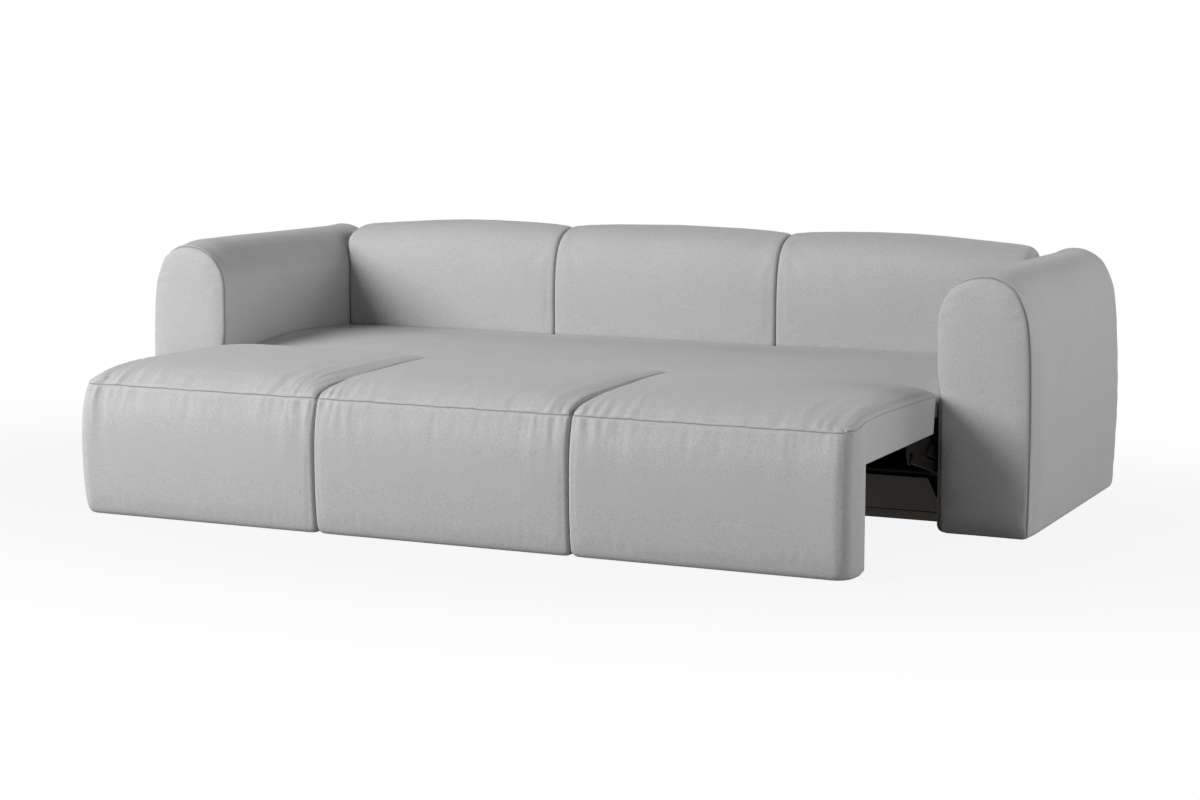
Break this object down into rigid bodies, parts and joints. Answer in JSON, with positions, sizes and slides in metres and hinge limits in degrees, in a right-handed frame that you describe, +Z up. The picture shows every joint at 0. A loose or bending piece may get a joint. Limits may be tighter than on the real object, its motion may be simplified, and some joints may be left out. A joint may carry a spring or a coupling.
{
  "type": "sofa bed",
  "caption": "Upholstered sofa bed with arched arms: its seat swings forward on links and a rear panel rises behind it to make a level bed.",
  "frame": {"origin": "middle of the open bed's footprint, on the floor", "axes": "+X along the sofa to the right seen from the front, +Y to the back, +Z up"},
  "size_m": [2.8, 1.6899, 0.7586],
  "materials": {
    "upholstery_fabric": "matte",
    "arm_board": "matte",
    "timber": "matte",
    "plywood": "satin",
    "hardboard": "matte",
    "dark_brown_board": "satin",
    "black_cloth": "matte",
    "black_steel": "satin",
    "zinc_steel": "satin",
    "black_rubber": "matte",
    "black_plastic": "matte"
  },
  "bodies": {
    "base": {"arm_bolts": "zinc_steel", "arm_glides": "black_plastic", "back_board": "hardboard", "back_frame": "timber", "base_cross_rails": "timber", "base_floor_board": "hardboard", "base_front_panel": "dark_brown_board", "base_glides": "black_plastic", "base_plinth_strip": "dark_brown_board", "base_side_rails": "timber", "left_arm_frame": "arm_board", "left_arm_padding": "upholstery_fabric", "left_back_cushion": "upholstery_fabric", "left_side_plate": "black_steel", "link_stop_buffers": "black_rubber", "middle_back_cushion": "upholstery_fabric", "panel_link_studs": "zinc_steel", "rear_cover_pad": "upholstery_fabric", "right_arm_frame": "arm_board", "right_arm_padding": "upholstery_fabric", "right_back_cushion": "upholstery_fabric", "right_side_plate": "black_steel", "side_plate_screws": "zinc_steel", "swing_pivot_pins": "black_steel", "swing_pivot_washers": "black_steel"},
    "seat_links_front": {"left_front_swing_link": "black_steel", "right_front_swing_link": "black_steel", "swing_torsion_tube": "black_steel"},
    "seat_links_rear": {"left_rear_swing_link": "black_steel", "right_rear_swing_link": "black_steel"},
    "seat": {"seat_frame": "black_steel", "seat_deck": "plywood", "seat_dust_cover": "black_cloth", "left_seat_bracket": "black_steel", "right_seat_bracket": "black_steel", "seat_bracket_screws": "black_steel", "seat_pivot_pins": "black_steel", "seat_pivot_washers": "black_steel", "apron_board": "plywood", "apron_brackets": "black_steel", "apron_screws": "zinc_steel", "apron_glides": "black_plastic", "left_seat_cushion": "upholstery_fabric", "left_front_pad": "upholstery_fabric", "middle_seat_cushion": "upholstery_fabric", "middle_front_pad": "upholstery_fabric", "right_seat_cushion": "upholstery_fabric", "right_front_pad": "upholstery_fabric"},
    "panel_links_front": {"panel_front_links": "black_steel"},
    "panel_links_rear": {"panel_rear_links": "black_steel", "panel_cross_tube": "black_steel"},
    "panel": {"panel_frame": "black_steel", "panel_deck": "plywood", "panel_pad": "upholstery_fabric", "panel_brackets": "black_steel", "panel_bracket_screws": "zinc_steel", "panel_pivot_pins": "zinc_steel", "panel_pivot_washers": "zinc_steel"}
  },
  "joints": [
    {"name": "seat_swing", "type": "hinge", "parent": "base", "child": "seat_links_front", "pos_m": [0, 0.075, 0.135], "axis": [-1, 0, 0], "range_deg": [0, 150]},
    {"name": "rear_link_swing", "type": "hinge", "parent": "base", "child": "seat_links_rear", "pos_m": [0, 0.22, 0.135], "axis": [-1, 0, 0], "range_deg": [0, 150]},
    {"name": "seat_on_links", "type": "hinge", "parent": "seat_links_front", "child": "seat", "pos_m": [0, -0.295, 0.23414], "axis": [-1, 0, 0], "range_deg": [-150, 0]},
    {"name": "panel_link_swing", "type": "hinge", "parent": "base", "child": "panel_links_front", "pos_m": [0, 0.13, 0.118], "axis": [-1, 0, 0], "range_deg": [0, 90]},
    {"name": "panel_rear_link_swing", "type": "hinge", "parent": "base", "child": "panel_links_rear", "pos_m": [0, 0.45, 0.118], "axis": [-1, 0, 0], "range_deg": [0, 90]},
    {"name": "panel_on_links", "type": "hinge", "parent": "panel_links_front", "child": "panel", "pos_m": [0, 0.13, 0.278], "axis": [-1, 0, 0], "range_deg": [-90, 0]}
  ],
  "couplings": [
    {"joint": "rear_link_swing", "follows": "seat_swing", "ratio": 1},
    {"joint": "seat_on_links", "follows": "seat_swing", "ratio": -1},
    {"joint": "panel_link_swing", "follows": "seat_swing", "ratio": 0.6},
    {"joint": "panel_rear_link_swing", "follows": "seat_swing", "ratio": 0.6},
    {"joint": "panel_on_links", "follows": "seat_swing", "ratio": -0.6}
  ]
}
